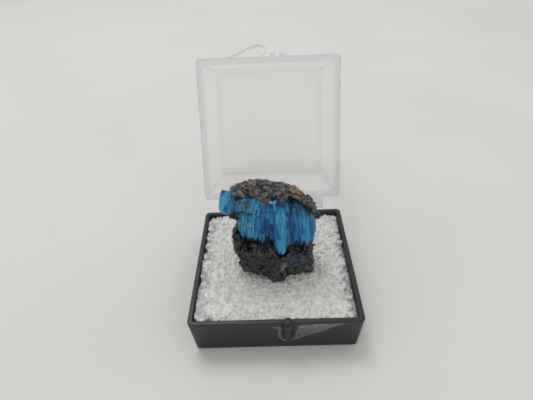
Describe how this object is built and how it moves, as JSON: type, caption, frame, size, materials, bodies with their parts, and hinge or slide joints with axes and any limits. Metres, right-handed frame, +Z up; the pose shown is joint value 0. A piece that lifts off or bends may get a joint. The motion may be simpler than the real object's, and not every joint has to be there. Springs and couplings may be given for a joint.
{
  "type": "boxed chalcanthite specimen",
  "caption": "Square hinged display box with a black tray, foam pad and deep clear lid, holding a fibrous blue chalcanthite vein between dark rock walls.",
  "frame": {"origin": "middle of the tray's underside, on the table", "axes": "+Z up, the catch side of the tray faces -Y, the hinge and the open lid are towards +Y, +X to the right seen from the catch"},
  "size_m": [0.034, 0.0764, 0.0442],
  "materials": {
    "tray_plastic": "satin",
    "lid_plastic": "polished",
    "pad_foam": "matte",
    "wall_rock": "matte",
    "chalcanthite": "gloss",
    "crust_rock": "matte",
    "clear_tape": "gloss"
  },
  "bodies": {
    "box": {"tray": "tray_plastic", "foam_pad": "pad_foam", "lower_rock": "wall_rock", "chalcanthite_vein": "chalcanthite", "upper_crust": "crust_rock", "tray_tape": "clear_tape"},
    "cover": {"lid": "lid_plastic", "lid_tape": "clear_tape"}
  },
  "joints": [
    {"name": "lid_hinge", "type": "hinge", "parent": "box", "child": "cover", "pos_m": [0, 0.01878, 0.00863], "axis": [1, 0, 0], "range_deg": [0, 112.92]}
  ]
}
